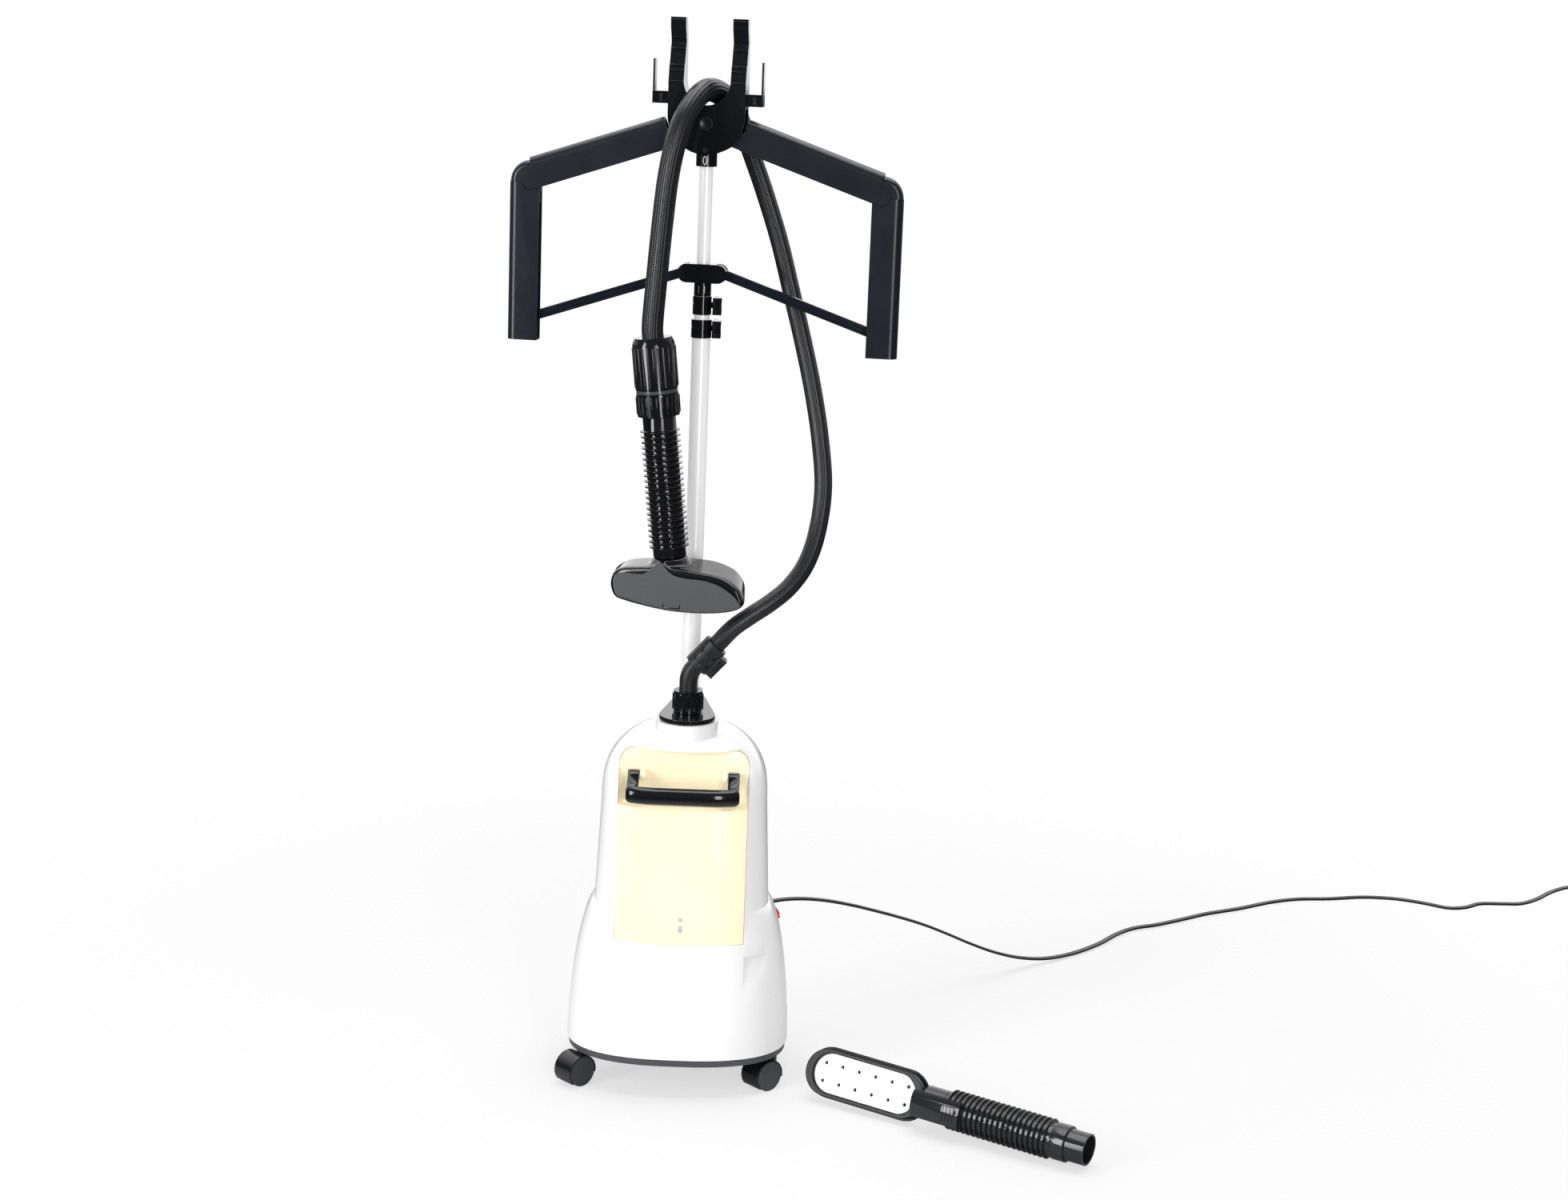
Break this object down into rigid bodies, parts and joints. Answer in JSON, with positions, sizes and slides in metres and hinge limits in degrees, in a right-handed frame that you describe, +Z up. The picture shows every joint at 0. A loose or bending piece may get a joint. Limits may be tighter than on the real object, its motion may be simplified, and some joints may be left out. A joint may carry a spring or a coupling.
{
  "type": "upright garment steamer",
  "caption": "Upright garment steamer on casters: moulded base with pull-out water tank, telescopic pole, folding hanger, hose with steam wand, and a loose press wand.",
  "frame": {"origin": "on the floor under the middle of the base", "axes": "+X to the right and +Y to the back as the user faces the tank, +Z up"},
  "size_m": [1.7314, 1.1623, 1.287],
  "materials": {
    "white_shell": "gloss moulded",
    "grey_pan": "satin",
    "black_gloss": "gloss moulded",
    "black_satin": "satin moulded",
    "dark_grey": "satin",
    "tank_yellow": "translucent",
    "clear_white": "plain",
    "pole_silver": "satin anodised",
    "boiler_cast": "cast",
    "steel": "brushed",
    "hose_black": "ribbed sleeve",
    "cord_black": "satin",
    "switch_red": "gloss",
    "brass": "plain",
    "plate_white": "enamel",
    "ring_grey": "satin"
  },
  "bodies": {
    "base": {"base_pan": "grey_pan", "pan_screws": "steel", "housing": "white_shell", "rocker_bezel": "switch_red", "cord_gland": "black_gloss", "boiler": "boiler_cast", "steam_riser": "brass", "valve_seat": "clear_white", "water_inlet": "clear_white", "thermostat": "brass", "terminal_block": "clear_white", "neck_flange": "black_gloss", "hose_elbow": "black_satin", "hose_coupling": "black_satin", "lower_tube": "pole_silver", "lower_clamp": "black_gloss", "hose_rear": "hose_black", "cord": "cord_black", "cord_coil": "cord_black", "plug": "cord_black"},
    "outlet_nut": {"outlet_nut": "black_gloss"},
    "rocker": {"rocker": "switch_red"},
    "water_tank": {"water_tank": "tank_yellow", "tank_valve": "clear_white"},
    "tank_handle": {"tank_handle": "black_gloss"},
    "lower_lever": {"lower_lever": "black_gloss"},
    "middle_pole": {"middle_tube": "pole_silver", "upper_clamp": "black_gloss"},
    "upper_lever": {"upper_lever": "black_gloss"},
    "upper_pole": {"upper_tube": "pole_silver", "strut_collar": "black_satin", "hanger_yoke": "black_satin", "hanger_pins": "steel", "side_hooks": "black_satin", "hose_front": "hose_black", "hose_cuff": "black_satin", "cuff_ring": "ring_grey", "wand_grip": "black_gloss", "steam_head": "black_gloss", "head_plate": "dark_grey"},
    "handle_nut": {"handle_nut": "black_satin"},
    "press_button": {"press_button": "black_satin"},
    "right_arm": {"right_arm": "black_satin"},
    "left_arm": {"left_arm": "black_satin"},
    "right_panel": {"right_panel": "black_satin"},
    "left_panel": {"left_panel": "black_satin"},
    "right_strut": {"right_strut": "black_satin"},
    "left_strut": {"left_strut": "black_satin"},
    "press_wand": {"press_head": "black_gloss", "press_plate": "plate_white", "press_neck": "black_satin", "press_grip": "black_gloss"},
    "caster_fl": {"caster_fl": "black_gloss"},
    "wheels_fl": {"wheels_fl": "dark_grey"},
    "caster_fr": {"caster_fr": "black_gloss"},
    "wheels_fr": {"wheels_fr": "dark_grey"},
    "caster_rl": {"caster_rl": "black_gloss"},
    "wheels_rl": {"wheels_rl": "dark_grey"},
    "caster_rr": {"caster_rr": "black_gloss"},
    "wheels_rr": {"wheels_rr": "dark_grey"}
  },
  "joints": [
    {"name": "swivel_fl", "type": "hinge", "parent": "base", "child": "caster_fl", "pos_m": [-0.113, -0.0695, 0.045], "axis": [0, 0, 1], "continuous": true},
    {"name": "roll_fl", "type": "hinge", "parent": "caster_fl", "child": "wheels_fl", "pos_m": [-0.12235, -0.07853, 0.0185], "axis": [-0.6947, 0.7193, 0], "continuous": true},
    {"name": "swivel_fr", "type": "hinge", "parent": "base", "child": "caster_fr", "pos_m": [0.117, -0.062, 0.045], "axis": [0, 0, 1], "continuous": true},
    {"name": "roll_fr", "type": "hinge", "parent": "caster_fr", "child": "wheels_fr", "pos_m": [0.10734, -0.0707, 0.0185], "axis": [-0.6691, 0.7431, 0], "continuous": true},
    {"name": "swivel_rl", "type": "hinge", "parent": "base", "child": "caster_rl", "pos_m": [-0.0895, 0.0724, 0.045], "axis": [0, 0, 1], "continuous": true},
    {"name": "roll_rl", "type": "hinge", "parent": "caster_rl", "child": "wheels_rl", "pos_m": [-0.0956, 0.06092, 0.0185], "axis": [-0.8829, 0.4695, 0], "continuous": true},
    {"name": "swivel_rr", "type": "hinge", "parent": "base", "child": "caster_rr", "pos_m": [0.0895, 0.0724, 0.045], "axis": [0, 0, 1], "continuous": true},
    {"name": "roll_rr", "type": "hinge", "parent": "caster_rr", "child": "wheels_rr", "pos_m": [0.07714, 0.07642, 0.0185], "axis": [0.309, 0.9511, 0], "continuous": true},
    {"name": "tank_pull", "type": "slide", "parent": "base", "child": "water_tank", "axis": [0, -1, 0], "range_m": [0, 0.15]},
    {"name": "tank_handle_lift", "type": "hinge", "parent": "water_tank", "child": "tank_handle", "pos_m": [0, -0.067, 0.3924], "axis": [-1, 0, 0], "range_deg": [0, 70]},
    {"name": "outlet_nut_turn", "type": "hinge", "parent": "base", "child": "outlet_nut", "pos_m": [0, -0.01, 0.47], "axis": [0, 0, 1], "continuous": true},
    {"name": "rocker_tilt", "type": "hinge", "parent": "base", "child": "rocker", "pos_m": [0.11413, 0.02773, 0.19477], "axis": [0.6063, 0.1069, -0.788], "range_deg": [-9, 9]},
    {"name": "lower_lever_open", "type": "hinge", "parent": "base", "child": "lower_lever", "pos_m": [0.017, 0.065, 0.9198], "axis": [0, 0, 1], "range_deg": [0, 90]},
    {"name": "middle_slide", "type": "slide", "parent": "base", "child": "middle_pole", "axis": [0, 0, 1], "range_m": [0, 0.25], "deforming": ["hose_rear"]},
    {"name": "upper_lever_open", "type": "hinge", "parent": "middle_pole", "child": "upper_lever", "pos_m": [0.017, 0.065, 0.9478], "axis": [0, 0, 1], "range_deg": [0, 90]},
    {"name": "upper_slide", "type": "slide", "parent": "middle_pole", "child": "upper_pole", "axis": [0, 0, 1], "range_m": [0, 0.22], "deforming": ["hose_rear"]},
    {"name": "handle_nut_turn", "type": "hinge", "parent": "upper_pole", "child": "handle_nut", "pos_m": [-0.04704, 0.004, 0.83398], "axis": [-0.1045, 0, 0.9945], "continuous": true},
    {"name": "button_push", "type": "slide", "parent": "upper_pole", "child": "press_button", "axis": [0.1219, 0.9925, 0], "range_m": [0, 0.003], "stiffness_N_per_m": 600},
    {"name": "press_wand_lift", "type": "slide", "parent": "base", "child": "press_wand", "axis": [0, 0, 1], "range_m": [0, 0.3]},
    {"name": "right_arm_fold", "type": "hinge", "parent": "upper_pole", "child": "right_arm", "pos_m": [0.02978, 0.05434, 1.1484], "axis": [0.1219, 0.9925, 0], "range_deg": [0, 40]},
    {"name": "right_panel_turn", "type": "hinge", "parent": "right_arm", "child": "right_panel", "pos_m": [0.21065, 0.03214, 1.08636], "axis": [0.1219, 0.9925, 0], "range_deg": [-40, 0]},
    {"name": "right_strut_turn", "type": "hinge", "parent": "upper_pole", "child": "right_strut", "pos_m": [0.02382, 0.05507, 0.9865], "axis": [0.1219, 0.9925, 0], "range_deg": [0, 40]},
    {"name": "left_arm_fold", "type": "hinge", "parent": "upper_pole", "child": "left_arm", "pos_m": [-0.02978, 0.06166, 1.1484], "axis": [-0.1219, -0.9925, 0], "range_deg": [0, 40]},
    {"name": "left_panel_turn", "type": "hinge", "parent": "left_arm", "child": "left_panel", "pos_m": [-0.21065, 0.08386, 1.08636], "axis": [-0.1219, -0.9925, 0], "range_deg": [-40, 0]},
    {"name": "left_strut_turn", "type": "hinge", "parent": "upper_pole", "child": "left_strut", "pos_m": [-0.02382, 0.06092, 0.9865], "axis": [-0.1219, -0.9925, 0], "range_deg": [0, 40]}
  ],
  "couplings": [
    {"joint": "right_panel_turn", "follows": "right_arm_fold", "ratio": -1},
    {"joint": "right_strut_turn", "follows": "right_arm_fold", "ratio": 1},
    {"joint": "left_panel_turn", "follows": "left_arm_fold", "ratio": -1},
    {"joint": "left_strut_turn", "follows": "left_arm_fold", "ratio": 1}
  ]
}
